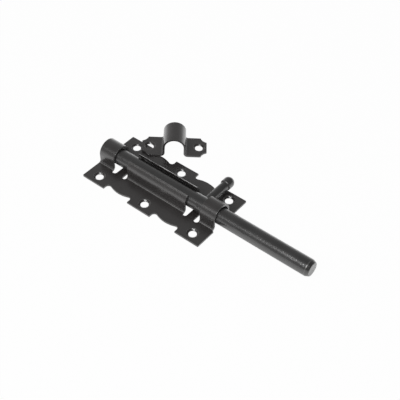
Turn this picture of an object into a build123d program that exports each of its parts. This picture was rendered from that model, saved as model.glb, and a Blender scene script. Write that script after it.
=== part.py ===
from build123d import *
import os
from math import asin, cos, degrees, radians, sin

# A surface door bolt of black steel, with its loose keeper. Sizes are in millimetres.
# X runs along the rod to its nose and Z stands out from the door. The origin is the middle of the
# base plate's back face.

# Steel sheet of the base plate and the keeper
sheet_t = 1.2
bend_r = 1.45  # hollow side of a bend, from the flat to a leg

# Base plate outline
plate_length = 90.0
plate_width = 45.0
corner_tab = 17.25  # each corner tab, along X
middle_tab = 17.5  # middle tab, along X
scallop_r = 1.9  # round hollow beside a tab
scallop_depth = 4.0  # from the tab's edge in to the bottom of the hollow
bulge_depth = 2.5  # from the tab's edge in to the crest between two hollows
corner_r = 0.6  # plan corners of the plate

# Countersunk screw holes
hole_d = 4.8
sink_d = 7.2
sink_depth = 0.9
hole_pitch_x = 36.5
hole_pitch_y = 33.5

# Straps raised from the plate: a loop at each end and a slotted saddle between them
loop_length = 11.35  # along X
loop_setback = 1.0  # front loop's free edge, in from the plate's end
end_slit = 3.25  # between a loop and its web
web_length = 5.2  # flat strip across the plate
saddle_slit = 2.7  # between a web and the saddle
slit_span = 19.0  # over both round ends
slot_width = 8.0  # gap between the saddle's two lips

# Rod
rod_d = 10.2
rod_length = 150.0
rod_reach = 61.0  # from the plate's end to the nose
nose_chamfer = 0.9  # across the end face
nose_taper = 2.2  # along the rod
tail_chamfer = 0.5
loop_gap = 0.75  # arch to a rod in its middle
rod_lean = 0.45  # rod's axis, to the near side of the arches' middle
web_gap = 0.5  # rod to web

# Handle pin, riveted across the rod
grip_d = 5.6
grip_reach = 20.4  # from the rod's axis to the knob
knob_d = 7.0
knob_length = 6.9
knob_dome = 3.3  # rounded end of the knob
knob_edge = 0.4
spigot_d = 4.2
rivet_d = 5.2
rivet_rise = 0.3  # peened end, above the rod
pin_fit = 0.02  # pin to rod, all round
stop_gap = 0.15  # grip to front loop, with the bolt thrown

# Keeper
keeper_depth = 16.6  # along the rod
keeper_length = 40.4
keeper_shoulder = 32.8  # between the outer corners of its two flanges
keeper_tip = 8.9  # width of a flange's end
keeper_notch_r = 5.6  # hollow from a flange's corner to its end
keeper_pitch = 30.6  # between its two holes
keeper_x = -18.3
keeper_y = 31.45
keeper_turn = -51.2  # about Z, from the rod's line
rest_gap = 0.05  # keeper to the base plate under it

# Worked out from the sizes above
rod_r = rod_d / 2
axis_y = -rod_lean
axis_z = sheet_t + web_gap + rod_r
strap_in_r = rod_r + loop_gap
strap_out_r = strap_in_r + sheet_t
crease_y = strap_out_r + bend_r
half_length = plate_length / 2
edge_y = plate_width / 2
loop_in_x = half_length - loop_length
web_out_x = loop_in_x - end_slit
web_in_x = web_out_x - web_length
saddle_x = web_in_x - saddle_slit
pin_x = loop_in_x - stop_gap - grip_d / 2
nose_x = half_length + rod_reach
overrun = 1.0  # cutters past a face


def cylinder_x(radius, length):
    """Cylinder along X about the rod's line."""
    return Rot(0, 90, 0) * Cylinder(radius, length)


def strap_profile():
    """Section across a strap: two bends, two legs and an arch of even thickness, in Y and Z."""
    bend_z = sheet_t + bend_r
    bend_out = bend_r + sheet_t
    arch_top = axis_z + strap_out_r
    arch_under = axis_z + strap_in_r
    corner = bend_r * sin(radians(45))
    corner_out = bend_out * sin(radians(45))
    outer = [
        Line((crease_y, 0), (crease_y, sheet_t)),
        ThreePointArc(
            (crease_y, sheet_t), (crease_y - corner, bend_z - corner), (strap_out_r, bend_z)
        ),
        Line((strap_out_r, bend_z), (strap_out_r, axis_z)),
        ThreePointArc((strap_out_r, axis_z), (0, arch_top), (-strap_out_r, axis_z)),
        Line((-strap_out_r, axis_z), (-strap_out_r, bend_z)),
        ThreePointArc(
            (-strap_out_r, bend_z), (corner - crease_y, bend_z - corner), (-crease_y, sheet_t)
        ),
        Line((-crease_y, sheet_t), (-crease_y, 0)),
    ]
    inner = [
        ThreePointArc(
            (-crease_y, 0), (corner_out - crease_y, bend_z - corner_out), (-strap_in_r, bend_z)
        ),
        Line((-strap_in_r, bend_z), (-strap_in_r, axis_z)),
        ThreePointArc((-strap_in_r, axis_z), (0, arch_under), (strap_in_r, axis_z)),
        Line((strap_in_r, axis_z), (strap_in_r, bend_z)),
        ThreePointArc(
            (strap_in_r, bend_z), (crease_y - corner_out, bend_z - corner_out), (crease_y, 0)
        ),
    ]
    return make_face(outer + inner)


def strap(x_start, x_end):
    """Strap from one X to another."""
    section = Plane(origin=(x_start, 0, 0), x_dir=(0, 1, 0), z_dir=(1, 0, 0)) * strap_profile()
    return extrude(section, amount=x_end - x_start)


def countersunk_hole():
    """Cutter for a screw hole, from under the back face to above the front."""
    sink_z = sheet_t - sink_depth
    slope = (sink_d - hole_d) / 2 / sink_depth
    top_r = sink_d / 2 + slope * overrun
    cone = Cone(hole_d / 2, top_r, sink_depth + overrun, align=(Align.CENTER, Align.CENTER, Align.MIN))
    drill = Cylinder(hole_d / 2, sheet_t + 2 * overrun, align=(Align.CENTER, Align.CENTER, Align.MIN))
    return Pos(0, 0, -overrun) * drill + Pos(0, 0, sink_z) * cone


def plate_recess():
    """Cut-out in a long edge between two tabs: two round hollows with a flat bulge between them."""
    recess_start = middle_tab / 2
    recess_end = half_length - corner_tab
    middle_x = (recess_start + recess_end) / 2
    half_width = (recess_end - recess_start) / 2
    hollow_x = half_width - scallop_r
    hollow_y = edge_y - scallop_depth + scallop_r
    crest_y = edge_y - bulge_depth
    lift = hollow_y - crest_y
    bulge_r = (hollow_x**2 + lift**2 - scallop_r**2) / (2 * (scallop_r - lift))
    share = bulge_r / (bulge_r + scallop_r)
    touch_x = hollow_x * share
    touch_y = crest_y - bulge_r + (bulge_r + lift) * share
    mouth_depth = edge_y + overrun - hollow_y
    mouth = Pos(0, hollow_y + mouth_depth / 2) * Rectangle(2 * half_width, mouth_depth)
    hollows = [Pos(side * hollow_x, hollow_y) * Circle(scallop_r) for side in (-1, 1)]
    between = Pos(0, (touch_y + hollow_y) / 2) * Rectangle(2 * touch_x, hollow_y - touch_y)
    over_bulge = between - Pos(0, crest_y - bulge_r) * Circle(bulge_r)
    return Pos(middle_x, 0) * (mouth + hollows[0] + hollows[1] + over_bulge)


def plate_blank():
    """Flat outline of the base plate with the window that its straps were raised from."""
    outline = RectangleRounded(plate_length, plate_width, corner_r)
    recess = plate_recess()
    far = recess + mirror(recess, about=Plane.YZ)
    outline -= far + mirror(far, about=Plane.XZ)
    outline -= Rectangle(plate_length, 2 * crease_y)
    for side in (-1, 1):
        web_mid = side * (web_in_x + web_out_x) / 2
        outline += Pos(web_mid, 0) * Rectangle(web_length, 2 * crease_y)
        for inner_x, width in ((web_out_x, end_slit), (saddle_x, saddle_slit)):
            slit = Rot(0, 0, 90) * SlotOverall(slit_span, width)
            outline -= Pos(side * (inner_x + width / 2), 0) * slit
    return outline


def make_base_plate():
    """Base plate: flat sheet, two loops and the saddle, in one piece."""
    plate = extrude(plate_blank(), amount=sheet_t)
    saddle = strap(-saddle_x, saddle_x)
    slot_height = strap_out_r + overrun
    slot = Box(
        2 * saddle_x + 2 * overrun, slot_width, slot_height, align=(Align.CENTER, Align.CENTER, Align.MIN)
    )
    saddle -= Pos(0, 0, axis_z) * slot
    plate += strap(-half_length, -loop_in_x) + saddle + strap(loop_in_x, half_length - loop_setback)
    for column in (-1, 0, 1):
        for row in (-0.5, 0.5):
            plate -= Pos(column * hole_pitch_x, row * hole_pitch_y, 0) * countersunk_hole()
    return plate


def make_rod():
    """Round bar with a bevelled nose and the cross hole for the handle pin."""
    rod = Pos(nose_x - rod_length / 2, axis_y, axis_z) * cylinder_x(rod_r, rod_length)
    nose = rod.faces().sort_by(Axis.X)[-1]
    rod = chamfer(nose.edges(), nose_chamfer, nose_taper, reference=nose)
    rod = chamfer(rod.faces().sort_by(Axis.X)[0].edges(), tail_chamfer)
    cross_hole = Rot(90, 0, 0) * Cylinder(spigot_d / 2 + pin_fit, rod_d + 2 * overrun)
    return rod - Pos(pin_x, axis_y, axis_z) * cross_hole


def make_handle_pin():
    """Turned pin with a knob, its foot shaped to the rod and its far end peened over."""
    grip_r = grip_d / 2
    rivet_r = rivet_d / 2
    knob_r = knob_d / 2
    knob_end = grip_reach + knob_length
    dome_start = knob_end - knob_dome
    dome_r = (knob_r**2 + knob_dome**2) / (2 * knob_dome)
    half_angle = asin(knob_r / dome_r) / 2
    dome_mid = (dome_r * sin(half_angle), knob_end - dome_r * (1 - cos(half_angle)))
    rivet_end = -rod_r - rivet_rise - overrun
    half_section = make_face(
        [
            Polyline((0, rivet_end), (rivet_r, rivet_end), (rivet_r, 0), (grip_r, 0), (grip_r, grip_reach)),
            Polyline(
                (grip_r, grip_reach),
                (knob_r - knob_edge, grip_reach),
                (knob_r, grip_reach + knob_edge),
                (knob_r, dome_start),
            ),
            ThreePointArc((knob_r, dome_start), dome_mid, (0, knob_end)),
            Line((0, knob_end), (0, rivet_end)),
        ]
    )
    pin = revolve(half_section, Axis.Y)
    drilled_bar = cylinder_x(rod_r + pin_fit, 2 * rod_d) - Rot(90, 0, 0) * Cylinder(spigot_d / 2, 2 * rod_d)
    peen = Box(2 * rod_d, rod_d, 2 * rod_d, align=(Align.CENTER, Align.MAX, Align.CENTER))
    peen -= cylinder_x(rod_r + rivet_rise, 3 * rod_d)
    return Pos(pin_x, axis_y, axis_z) * (pin - drilled_bar - peen)


def keeper_flange():
    """Flat outline of one keeper flange, from its bend out along Y."""
    half_depth = keeper_depth / 2
    half_tip = keeper_tip / 2
    shoulder_y = keeper_shoulder / 2
    end_y = keeper_length / 2
    return make_face(
        [
            Polyline(
                (half_depth, shoulder_y), (half_depth, crease_y), (-half_depth, crease_y), (-half_depth, shoulder_y)
            ),
            RadiusArc((-half_depth, shoulder_y), (-half_tip, end_y), -keeper_notch_r),
            Line((-half_tip, end_y), (half_tip, end_y)),
            RadiusArc((half_tip, end_y), (half_depth, shoulder_y), -keeper_notch_r),
        ]
    )


def make_keeper():
    """Keeper: one strap with a screw flange each side, lying partly on the base plate's edge."""
    keeper = strap(-keeper_depth / 2, keeper_depth / 2)
    for side in (0, 180):
        flange = extrude(keeper_flange(), amount=sheet_t) - Pos(0, keeper_pitch / 2, 0) * countersunk_hole()
        keeper += Rot(0, 0, side) * flange
    lift = sheet_t + rest_gap
    tilt = asin(lift / (crease_y + keeper_length / 2))
    rest_z = keeper_length / 2 * sin(tilt)
    return Pos(keeper_x, keeper_y, rest_z) * Rot(0, 0, keeper_turn) * Rot(-degrees(tilt), 0, 0) * keeper


os.makedirs("parts", exist_ok=True)
for name, solid in {
    "base_plate": make_base_plate(),
    "bolt_rod": make_rod(),
    "handle_pin": make_handle_pin(),
    "keeper": make_keeper(),
}.items():
    export_step(solid, f"parts/{name}.step")
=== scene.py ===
"""A black steel door bolt and its keeper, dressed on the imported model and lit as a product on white."""
import logging
import math
from dataclasses import dataclass, field, replace
from enum import Enum, IntEnum
from typing import Callable, Union

import bpy
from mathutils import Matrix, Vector

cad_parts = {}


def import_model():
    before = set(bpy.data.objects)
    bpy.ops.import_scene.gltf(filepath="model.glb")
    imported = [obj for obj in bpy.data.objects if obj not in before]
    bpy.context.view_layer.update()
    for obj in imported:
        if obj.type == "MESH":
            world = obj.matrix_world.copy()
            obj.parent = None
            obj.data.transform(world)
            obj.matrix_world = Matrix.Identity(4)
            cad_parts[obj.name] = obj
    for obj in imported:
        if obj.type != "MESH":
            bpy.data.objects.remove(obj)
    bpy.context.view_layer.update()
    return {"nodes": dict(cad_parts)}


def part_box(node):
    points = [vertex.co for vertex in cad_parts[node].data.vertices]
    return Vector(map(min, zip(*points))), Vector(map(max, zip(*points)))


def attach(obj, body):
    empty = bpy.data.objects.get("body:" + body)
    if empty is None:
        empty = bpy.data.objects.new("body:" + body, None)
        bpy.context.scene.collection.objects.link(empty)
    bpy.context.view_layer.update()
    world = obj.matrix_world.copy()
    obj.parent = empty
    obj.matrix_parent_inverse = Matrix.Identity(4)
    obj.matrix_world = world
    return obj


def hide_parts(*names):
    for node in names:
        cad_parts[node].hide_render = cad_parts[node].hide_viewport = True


log = logging.getLogger("door_bolt")

MM = 0.001
PICTURE_SIDE = 400  # pixels along each side of the frame
NOISE_MIDDLE = 0.5  # mean of a noise
Number = Union[float, "Socket"]
Colour = tuple[float, float, float]
Point = tuple[float, float, float]


class Body(Enum):
    """Rigid bodies that the pieces ride on."""

    PLATE = "plate"
    ROD = "rod"


class Slot(Enum):
    """Material slots of the part's record."""

    SHEET = "sheet_coat"
    ROD = "rod_coat"


class Place(IntEnum):
    """Where on a piece a finish lies, in the order of its material slots."""

    COAT = 0
    EDGE = 1
    # Faces with a painted reflection or a painted highlight.
    CUT = 2
    CONE = 3
    # The slot's far lip, with a painted highlight.
    LIP = 4


class Step(Enum):
    """Arithmetic that a Math node does."""

    ADD = "ADD"
    SUBTRACT = "SUBTRACT"
    MULTIPLY = "MULTIPLY"
    POWER = "POWER"
    MAXIMUM = "MAXIMUM"
    LESS_THAN = "LESS_THAN"


class Socket:
    """A node's output that takes part in Python arithmetic."""

    def __init__(self, graph: "NodeGraph", output: bpy.types.NodeSocket) -> None:
        """Keep the graph that owns the output."""
        self.graph = graph
        self.output = output

    def _step(self, step: Step, first: Number, second: Number) -> "Socket":
        """Add one Math node.

        Args:
            step: What the node does.
            first: Its first value.
            second: Its second value.

        Returns:
            The node's result.
        """
        return self.graph.node("ShaderNodeMath", {"operation": step.value}, {0: first, 1: second})

    def __add__(self, other: Number) -> "Socket":
        """Sum of two values."""
        return self._step(Step.ADD, self, other)

    def __radd__(self, other: Number) -> "Socket":
        """Sum of two values."""
        return self._step(Step.ADD, other, self)

    def __sub__(self, other: Number) -> "Socket":
        """Difference of two values."""
        return self._step(Step.SUBTRACT, self, other)

    def __rsub__(self, other: Number) -> "Socket":
        """Difference of two values, the other way round."""
        return self._step(Step.SUBTRACT, other, self)

    def __mul__(self, other: Number) -> "Socket":
        """Product of two values."""
        return self._step(Step.MULTIPLY, self, other)

    def __rmul__(self, other: Number) -> "Socket":
        """Product of two values."""
        return self._step(Step.MULTIPLY, other, self)

    def __pow__(self, other: Number) -> "Socket":
        """Power of a value."""
        return self._step(Step.POWER, self, other)

    def either(self, other: Number) -> "Socket":
        """Larger of two values."""
        return self._step(Step.MAXIMUM, self, other)

    def below(self, limit: float) -> "Socket":
        """1 where the value is under a limit, and 0 elsewhere."""
        return self._step(Step.LESS_THAN, self, limit)


class NodeGraph:
    """A node tree that is built from nothing."""

    def __init__(self, tree: bpy.types.NodeTree) -> None:
        """Empty the tree.

        Args:
            tree: Tree of a material or a world.
        """
        self.tree = tree
        tree.nodes.clear()

    def node(
        self,
        kind: str,
        settings: dict[str, object] | None = None,
        inputs: dict[int | str, object] | None = None,
        output: int | str = 0,
    ) -> Socket:
        """Add a node.

        Args:
            kind: The node's type name.
            settings: Its own settings, set first; "stops" are a ramp's places and values.
            inputs: Values or links of its sockets.
            output: The output to return.

        Returns:
            That output.
        """
        made = self.tree.nodes.new(kind)
        for name, value in (settings or {}).items():
            if name == "stops":
                self._set_stops(made.color_ramp, value)
            else:
                setattr(made, name, value)
        for key, value in (inputs or {}).items():
            if isinstance(value, Socket):
                self.tree.links.new(value.output, made.inputs[key])
            else:
                made.inputs[key].default_value = value
        return Socket(self, made.outputs[output] if made.outputs else None)

    @staticmethod
    def _set_stops(ramp: bpy.types.ColorRamp, stops: list[tuple[float, float]]) -> None:
        """Give a ramp its grey stops.

        Args:
            ramp: Ramp with its two first stops.
            stops: Place and value of each stop, in order.
        """
        while len(ramp.elements) < len(stops):
            ramp.elements.new(0.5)
        for element, (place, value) in zip(ramp.elements, stops):
            element.position = place
            element.color = (value, value, value, 1.0)

    def noise(self, place: Socket, scale: float, detail: float = 3.0, rough: float = 0.5) -> Socket:
        """Soft noise.

        Args:
            place: Coordinates to read.
            scale: Cells in a metre.
            detail: Octaves.
            rough: Share of the finer octaves.

        Returns:
            Noise from 0 to 1.
        """
        inputs = {"Vector": place, "Scale": scale, "Detail": detail, "Roughness": rough}
        return self.node("ShaderNodeTexNoise", None, inputs)

    def ramp(self, value: Socket, *stops: tuple[float, float]) -> Socket:
        """Value led through a ramp of grey stops."""
        return self.node("ShaderNodeValToRGB", {"stops": list(stops)}, {"Fac": value})

    def tint(self, share: Socket, low: Colour, high: Colour) -> Socket:
        """Colour between two tones.

        Args:
            share: How much of the second tone.
            low: First tone.
            high: Second tone.

        Returns:
            The mixed colour.
        """
        inputs = {"Factor": share, 6: (*low, 1.0), 7: (*high, 1.0)}
        return self.node("ShaderNodeMix", {"data_type": "RGBA"}, inputs, output=2)

    def finish(self, shader: Socket) -> None:
        """Lead a shader to the material's surface."""
        self.node("ShaderNodeOutputMaterial", None, {"Surface": shader})


@dataclass(frozen=True)
class Coat:
    """Black coat on steel: a cloudy tone, a fine grain and a soft ripple under a clear top.

    Scales of the patterns are in cells per metre.
    """

    name: str
    deep: Colour
    pale: Colour
    roughness: float
    roughness_swing: float
    cloud_scale: float = 90.0
    cloud_low: float = 0.3  # noise at which the cloud starts, and where it is full
    cloud_high: float = 0.7
    grain_scale: float = 1400.0
    grain_height: float = 0.02 * MM
    grain_share: float = 0.5  # how much of the roughness's swing follows the grain
    ripple_scale: float = 260.0
    ripple_height: float = 0.01 * MM
    ior: float = 1.6
    gloss: float = 1.0  # weight of the clear top of the coat
    gloss_roughness: float = 0.3

    def build(self) -> bpy.types.Material:
        """Make the material.

        Returns:
            A new material with the finish's name.
        """
        material = bpy.data.materials.new(self.name)
        material.use_nodes = True
        graph = NodeGraph(material.node_tree)
        place = graph.node("ShaderNodeTexCoord", output="Object")
        cloud = graph.noise(place, self.cloud_scale, detail=4.0)
        grain = graph.noise(place, self.grain_scale, detail=2.0)
        ripple = graph.noise(place, self.ripple_scale, detail=1.0)
        patches = graph.ramp(cloud, (self.cloud_low, 0.0), (self.cloud_high, 1.0))
        tone = graph.tint(patches, self.deep, self.pale)
        swing = (cloud - NOISE_MIDDLE) + self.grain_share * (grain - NOISE_MIDDLE)
        rough = self.roughness + self.roughness_swing * swing
        height = grain * self.grain_height + ripple * self.ripple_height
        normal = graph.node("ShaderNodeBump", None, {"Strength": 1.0, "Distance": 1.0, "Height": height})
        graph.finish(
            graph.node(
                "ShaderNodeBsdfPrincipled",
                None,
                {
                    "Base Color": tone,
                    "Roughness": rough,
                    "Normal": normal,
                    "IOR": self.ior,
                    "Coat Weight": self.gloss,
                    "Coat Roughness": self.gloss_roughness,
                    "Coat IOR": self.ior,
                },
            )
        )
        return material


SATIN_COAT = Coat(
    name="satin_black_coat",
    deep=(0.026, 0.0228, 0.0223),
    pale=(0.038, 0.0336, 0.0330),
    roughness=0.30,
    roughness_swing=0.12,
    grain_height=0.055 * MM,
    ripple_height=0.03 * MM,
    gloss_roughness=0.27,
)
BAR_COAT = Coat(
    name="semi_gloss_bar_coat",
    deep=(0.0193, 0.0184, 0.0184),
    pale=(0.0306, 0.0292, 0.0292),
    roughness=0.22,
    roughness_swing=0.14,
    grain_scale=1000.0,
    grain_height=0.13 * MM,
    ripple_height=0.05 * MM,
    gloss_roughness=0.33,
)
# Paler on rounded edges: partly the coat worn thin, partly a painted highlight where the edges catch the
# light.
EDGE_WEAR_AND_HIGHLIGHT = Coat(
    name="thin_coat_and_painted_highlight_on_edges",
    deep=(0.045, 0.0435, 0.043),
    pale=(0.14, 0.137, 0.134),
    roughness=0.34,
    roughness_swing=0.2,
    cloud_scale=700.0,
)
# Pale finish painted on the faces across the rod's line, a painted reflection of the bright floor, and in
# the bends' hollows, a painted highlight line.
END_REFLECTION_AND_HOLLOW_HIGHLIGHT = Coat(
    name="painted_reflection_on_ends_and_highlight_in_hollows",
    deep=(0.12, 0.118, 0.116),
    pale=(0.22, 0.217, 0.213),
    roughness=0.36,
    roughness_swing=0.2,
    cloud_scale=400.0,
)
SMOOTH_CONE = replace(
    SATIN_COAT,
    name="smooth_coat_in_countersinks",
    roughness=0.24,
    roughness_swing=0.1,
    grain_height=0.02 * MM,
    ripple_height=0.01 * MM,
    gloss_roughness=0.19,
)
# Near-white finish on the rounded edge of the slot's far lip, a painted highlight line.
LIP_PAINTED_HIGHLIGHT = Coat(
    name="painted_highlight_on_lip",
    deep=(0.50, 0.495, 0.49),
    pale=(0.68, 0.675, 0.67),
    roughness=0.35,
    roughness_swing=0.2,
    cloud_scale=700.0,
)
# Pale finish on the nose's end face, a painted reflection of the bright floor.
NOSE_PAINTED_REFLECTION = Coat(
    name="painted_reflection_on_nose_face",
    deep=(0.22, 0.22, 0.215),
    pale=(0.32, 0.32, 0.315),
    roughness=0.42,
    roughness_swing=0.16,
    cloud_scale=500.0,
    grain_height=0.02 * MM,
)

FaceTest = Callable[[bpy.types.MeshPolygon], bool]


@dataclass
class CadPiece:
    """A piece that keeps a CAD node's form and gets the soft edges that a coat leaves on it, painted paler
    as worn coat with a painted highlight.
    """

    node: str
    piece: str
    body: Body
    slot: Slot
    finishes: list[Coat]
    edge_width: float = 0.13 * MM
    edge_steps: int = 2
    edge_angle: float = math.radians(35)  # least turn of an edge that is rounded
    least_edge: float = 0.06 * MM  # a corner with a shorter edge stays sharp
    highlight_and_wear_lift: float = -1.0  # least Z of the normal of an edge that keeps the paler finish of worn coat and painted highlight
    smooth_angle: float = math.radians(32)
    flat_weight: int = 100  # how far the large faces rule the shading
    weld: float = 0.001 * MM
    flat_angle: float = math.radians(0.3)
    obj: bpy.types.Object = field(init=False, default=None)

    def build(self, nodes: dict[str, bpy.types.Object]) -> bpy.types.Object:
        """Copy the node, weld it, round its edges and put it on its body.

        Args:
            nodes: CAD nodes by name.

        Returns:
            The finished piece.
        """
        deselect_all()
        source = nodes[self.node]
        self.obj = bpy.data.objects.new(self.piece, source.data.copy())
        bpy.context.collection.objects.link(self.obj)
        make_active(self.obj)
        self._weld()
        self.dress()
        self._round_edges()
        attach(self.obj, self.body.value)
        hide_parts(self.node)
        log.info("%s: %d faces on body %s", self.piece, len(self.obj.data.polygons), self.body.value)
        return self.obj

    def _weld(self) -> None:
        """Join the loose triangles and clear the ones that only divide a flat face."""
        bpy.ops.object.mode_set(mode="EDIT")
        bpy.ops.mesh.select_all(action="SELECT")
        bpy.ops.mesh.remove_doubles(threshold=self.weld)
        bpy.ops.mesh.dissolve_limited(angle_limit=self.flat_angle)
        bpy.ops.object.mode_set(mode="OBJECT")

    def _weigh_edges(self) -> None:
        """Mark the sharp edges that have room to be rounded."""
        bpy.ops.object.mode_set(mode="EDIT")
        bpy.ops.mesh.select_mode(type="EDGE")
        bpy.ops.mesh.select_all(action="DESELECT")
        bpy.ops.mesh.edges_select_sharp(sharpness=self.edge_angle)
        bpy.ops.object.mode_set(mode="OBJECT")
        mesh = self.obj.data
        weights = mesh.attributes.new("bevel_weight_edge", "FLOAT", "EDGE")
        crowded: set[int] = set()
        for edge in mesh.edges:
            first, second = (mesh.vertices[corner].co for corner in edge.vertices)
            if (first - second).length < self.least_edge:
                crowded.update(edge.vertices)
        for edge in mesh.edges:
            roomy = crowded.isdisjoint(edge.vertices)
            weights.data[edge.index].value = float(edge.select and roomy)

    def _round_edges(self) -> None:
        """Bevel the sharp edges, keep the paler finish of worn coat and painted highlight on those that
        face up enough, and smooth the shading between them.
        """
        self._weigh_edges()
        bevel = self.obj.modifiers.new("soft_edges", "BEVEL")
        bevel.width = self.edge_width
        bevel.segments = self.edge_steps
        bevel.limit_method = "WEIGHT"
        bevel.miter_outer = "MITER_ARC"
        bevel.use_clamp_overlap = False
        bevel.material = Place.EDGE
        bpy.ops.object.modifier_apply(modifier=bevel.name)
        # Edges that face up keep the paler finish, worn coat with a painted highlight; the rest go back to
        # the plain coat.
        for face in self.obj.data.polygons:
            if face.material_index == Place.EDGE and face.normal.z < self.highlight_and_wear_lift:
                face.material_index = Place.COAT
        bpy.ops.object.shade_smooth_by_angle(angle=self.smooth_angle)
        even = self.obj.modifiers.new("even_shading", "WEIGHTED_NORMAL")
        even.mode = "FACE_AREA"
        even.weight = self.flat_weight
        even.keep_sharp = True
        bpy.ops.object.modifier_apply(modifier=even.name)

    def dress(self) -> None:
        """Give the piece its finishes, the first one all over."""
        self.obj.data.materials.clear()
        for finish in self.finishes:
            self.obj.data.materials.append(material_for(finish))
        for face in self.obj.data.polygons:
            face.material_index = Place.COAT

    def paint(self, finish: Place, test: FaceTest) -> int:
        """Give some faces another finish.

        Args:
            finish: Which of the piece's finishes.
            test: Says which faces take it.

        Returns:
            How many faces took it.
        """
        chosen = [face for face in self.obj.data.polygons if test(face)]
        for face in chosen:
            face.material_index = finish
        return len(chosen)


@dataclass
class PressedSheet(CadPiece):
    """A piece pressed from sheet, with straps that were sheared free."""

    along: float = 0.98  # least X of a sheared face's normal
    cone_low: float = 0.7  # least and largest Z of a countersink's normals
    cone_high: float = 0.9
    cone_area: float = 1.0 * MM * MM  # more than one facet of a countersink has
    cone_top: float = 4.0 * MM  # height that no countersink reaches
    # On a sheet only edges facing up keep the paler finish of worn coat and painted highlight.
    highlight_and_wear_lift: float = 0.15

    def dress(self) -> None:
        """Coat the sheet, with a painted reflection on the faces sheared across the rod and a smoother
        coat in the countersinks.
        """
        super().dress()
        sheared = self.paint(Place.CUT, lambda face: abs(face.normal.x) > self.along)
        smooth = self.paint(Place.CONE, self._in_countersink)
        log.info("%s: %d sheared faces, %d in countersinks", self.piece, sheared, smooth)

    def _in_countersink(self, face: bpy.types.MeshPolygon) -> bool:
        """Whether a face is a facet of a countersink's cone."""
        slanted = self.cone_low < face.normal.z < self.cone_high
        return slanted and face.area < self.cone_area and face.center.z < self.cone_top


@dataclass
class SlottedPlate(PressedSheet):
    """The bolt's plate, with a painted highlight in the hollows of the bends and along the slot's far lip.
    """

    hollow_low: float = 1.25 * MM  # heights between which a bend's hollow gets a painted highlight
    hollow_high: float = 1.45 * MM
    hollow_lift: float = 0.5  # least Z of the normal of a hollow face with the painted highlight
    hollow_skew: float = 0.1  # largest X of it
    lip_side: float = 4.0 * MM  # how far the slot's lip lies from the plate's middle
    lip_reach: float = 0.3 * MM  # how far from there its rounded edge is looked for
    lip_low: float = 12.2 * MM  # height that all of the lip's edge lies above

    def dress(self) -> None:
        """Coat the sheet and paint a highlight in the hollows of the bends."""
        super().dress()
        count = self.paint(Place.CUT, self._in_hollow)
        log.info("%s: %d faces in hollows", self.piece, count)

    def _in_hollow(self, face: bpy.types.MeshPolygon) -> bool:
        """Whether a face lies where a strap bends up from the plate."""
        level = self.hollow_low < face.center.z < self.hollow_high
        return level and face.normal.z > self.hollow_lift and abs(face.normal.x) < self.hollow_skew

    def _round_edges(self) -> None:
        """Round the edges and paint a highlight along the slot's far lip."""
        super()._round_edges()
        count = self.paint(Place.LIP, self._on_lip)
        log.info("%s: %d faces on the lip", self.piece, count)

    def _on_lip(self, face: bpy.types.MeshPolygon) -> bool:
        """Whether a face is on the rounded edge of the slot's far lip."""
        beside = abs(face.center.y - self.lip_side) < self.lip_reach
        return beside and face.center.z > self.lip_low and face.material_index == Place.EDGE


@dataclass
class RoundBar(CadPiece):
    """The bolt's rod, with a sawn face at its nose."""

    nose_depth: float = 0.3 * MM  # how far back from the nose its face is looked for
    nose_turn: float = 0.9  # least X of that face's normal
    edge_width: float = 0.3 * MM
    edge_angle: float = math.radians(18)

    def dress(self) -> None:
        """Coat the bar and paint a reflection on the nose's face."""
        super().dress()
        count = self.paint(Place.CUT, self._on_nose)
        log.info("%s: %d nose faces", self.piece, count)

    def _on_nose(self, face: bpy.types.MeshPolygon) -> bool:
        """Whether a face is the sawn end of the nose."""
        if face.normal.x < self.nose_turn:
            return False
        return face.center.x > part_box(self.node)[1].x - self.nose_depth


@dataclass
class TurnedPin(CadPiece):
    """The handle, turned from bar and peened over at its foot."""


@dataclass(frozen=True)
class Softbox:
    """An area lamp that looks at the bolt, its first side level."""

    name: str
    direction: Point
    distance: float
    width: float
    height: float
    radiance: float
    target: Point = (0.03, 0.0, 0.005)

    def build(self) -> bpy.types.Object:
        """Add the lamp.

        Returns:
            The lamp's object.
        """
        data = bpy.data.lights.new(self.name, "AREA")
        data.shape = "RECTANGLE"
        data.size = self.width
        data.size_y = self.height
        data.energy = self.radiance * math.pi * self.width * self.height
        lamp = bpy.data.objects.new(self.name, data)
        bpy.context.scene.collection.objects.link(lamp)
        toward = Vector(self.direction).normalized()
        lamp.location = Vector(self.target) + toward * self.distance
        lamp.rotation_mode = "QUATERNION"
        lamp.rotation_quaternion = (-toward).to_track_quat("-Z", "Y")
        return lamp


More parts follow.
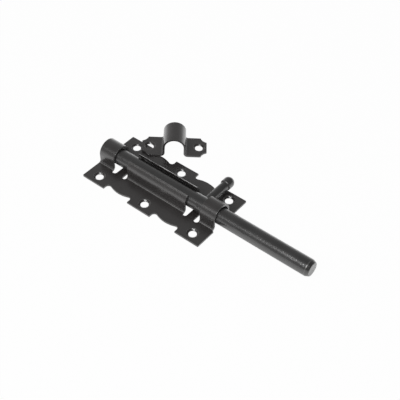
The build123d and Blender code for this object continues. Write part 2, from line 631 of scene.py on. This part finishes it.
@dataclass
class Studio:
    """White floor, dim surround and lamps."""

    floor_side: float = 6.0
    floor_tone: float = 0.9
    floor_glow: float = 0.975  # share of the floor's white that its shadow doesn't touch
    shade_reach: float = 8.0 * MM  # how far over the floor the bolt darkens it
    shade_power: float = 2.0  # how steeply the floor darkens under the bolt
    shade_samples: int = 8
    first_bounce: float = 1.5  # between the glossy depths of a first and a second reflection
    surround: tuple[tuple[float, float], ...] = ((0.0, 0.44), (0.2, 0.33), (0.5, 0.22), (1.0, 0.18))
    far_side: float = 0.3  # how much the surround rises towards the far side
    tail_side: float = 0.55  # how much it rises towards the rod's tail
    lamps: tuple[Softbox, ...] = (
        Softbox("key", (0.06, -0.67, 0.74), 0.9, 0.37, 0.34, 7.6),
        Softbox("fill", (-0.46, -0.65, 0.61), 0.9, 0.2, 0.18, 1.5),
        Softbox("top", (0.24, -0.41, 0.88), 0.9, 0.2, 0.13, 11.5),
    )

    def build(self) -> None:
        """Make the floor, the world and the lamps."""
        self._floor()
        self._world()
        for lamp in self.lamps:
            lamp.build()
        log.info("studio: %d lamps", len(self.lamps))

    def _white(self, graph: NodeGraph) -> Socket:
        """How much of the floor's white a ray sees.

        The camera sees it everywhere. First reflections and glass lose it in the dark under the bolt.

        Args:
            graph: The floor's graph.

        Returns:
            Share of plain white.
        """
        rays = ("Is Camera Ray", "Is Glossy Ray", "Is Transmission Ray", "Glossy Depth")
        camera, glossy, through, bounces = (graph.node("ShaderNodeLightPath", output=ray) for ray in rays)
        settings = {"samples": self.shade_samples}
        inputs = {"Distance": self.shade_reach}
        open_floor = graph.node("ShaderNodeAmbientOcclusion", settings, inputs, output="AO")
        mirrored = glossy * bounces.below(self.first_bounce)
        return self.floor_glow * camera.either(mirrored.either(through) * open_floor**self.shade_power)

    def _floor(self) -> None:
        """Lay the floor under the bolt."""
        deselect_all()
        bpy.ops.mesh.primitive_plane_add(size=self.floor_side, location=(0, 0, 0))
        floor = bpy.context.active_object
        floor.name = "floor"
        material = bpy.data.materials.new("white_floor")
        material.use_nodes = True
        graph = NodeGraph(material.node_tree)
        tone = (self.floor_tone,) * 3
        matt = graph.node("ShaderNodeBsdfDiffuse", None, {"Color": (*tone, 1.0)})
        glow = graph.node("ShaderNodeEmission", None, {"Color": (1.0, 1.0, 1.0, 1.0), "Strength": 1.0})
        share = self._white(graph)
        graph.finish(graph.node("ShaderNodeMixShader", None, {0: share, 1: matt, 2: glow}))
        floor.data.materials.append(material)

    def _world(self) -> None:
        """Surround the bolt with a dim room that the camera sees as white."""
        world = bpy.data.worlds.new("surround")
        bpy.context.scene.world = world
        world.use_nodes = True
        graph = NodeGraph(world.node_tree)
        camera = graph.node("ShaderNodeLightPath", output="Is Camera Ray")
        way = graph.node("ShaderNodeTexCoord", output="Generated")
        along, depth, lift = (
            graph.node("ShaderNodeSeparateXYZ", None, {"Vector": way}, output=axis) for axis in "XYZ"
        )
        sides = 1.0 + self.far_side * depth - self.tail_side * along
        level = (graph.ramp(lift, *self.surround) * sides).either(camera)
        back = graph.node("ShaderNodeBackground", None, {"Color": (1.0, 1.0, 1.0, 1.0), "Strength": level})
        graph.node("ShaderNodeOutputWorld", None, {"Surface": back})


@dataclass(frozen=True)
class ProductCamera:
    """Camera at the photograph's viewing angle, for a square frame."""

    target: Point = (22.74 * MM, 6.68 * MM, 0.2 * MM)
    azimuth: float = 39.312
    elevation: float = 45.719
    distance: float = 478.0 * MM
    focal_pixels: float = 812.67
    sensor: float = 36.0  # millimetres along the frame's side
    clip_near: float = 0.01
    clip_far: float = 20.0

    def build(self) -> bpy.types.Object:
        """Add the camera and make it the scene's.

        Returns:
            The camera's object.
        """
        turn, lift = math.radians(self.azimuth), math.radians(self.elevation)
        back = Vector(
            (math.sin(turn) * math.cos(lift), -math.cos(turn) * math.cos(lift), math.sin(lift))
        )
        data = bpy.data.cameras.new("product_camera")
        data.sensor_width = self.sensor
        data.lens = self.focal_pixels / PICTURE_SIDE * self.sensor
        data.clip_start = self.clip_near
        data.clip_end = self.clip_far
        camera = bpy.data.objects.new("product_camera", data)
        bpy.context.scene.collection.objects.link(camera)
        camera.location = Vector(self.target) + back * self.distance
        camera.rotation_mode = "QUATERNION"
        camera.rotation_quaternion = (-back).to_track_quat("-Z", "Y")
        bpy.context.scene.camera = camera
        return camera


MATERIALS: dict[str, bpy.types.Material] = {}


def material_for(finish: Coat) -> bpy.types.Material:
    """Material of a finish, made once."""
    if finish.name not in MATERIALS:
        MATERIALS[finish.name] = finish.build()
    return MATERIALS[finish.name]


def deselect_all() -> None:
    """Clear the selection."""
    bpy.ops.object.select_all(action="DESELECT")


def make_active(obj: bpy.types.Object) -> None:
    """Select one object alone and make it the active one."""
    deselect_all()
    obj.select_set(True)
    bpy.context.view_layer.objects.active = obj


def main() -> None:
    """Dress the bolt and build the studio."""
    logging.basicConfig(level=logging.INFO, format="%(message)s")
    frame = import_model()
    sheet_finishes = [SATIN_COAT, EDGE_WEAR_AND_HIGHLIGHT, END_REFLECTION_AND_HOLLOW_HIGHLIGHT, SMOOTH_CONE]
    pieces = [
        SlottedPlate("base_plate", "pressed_plate", Body.PLATE, Slot.SHEET, [*sheet_finishes, LIP_PAINTED_HIGHLIGHT]),
        PressedSheet("keeper", "strap_keeper", Body.PLATE, Slot.SHEET, sheet_finishes),
        RoundBar("bolt_rod", "drawn_rod", Body.ROD, Slot.ROD, [BAR_COAT, EDGE_WEAR_AND_HIGHLIGHT, NOSE_PAINTED_REFLECTION]),
        TurnedPin("handle_pin", "turned_handle", Body.ROD, Slot.ROD, [BAR_COAT, EDGE_WEAR_AND_HIGHLIGHT]),
    ]
    for piece in pieces:
        piece.build(frame["nodes"])
    Studio().build()
    ProductCamera().build()
    bpy.context.scene.view_settings.view_transform = "Standard"


if __name__ == "__main__":
    main()
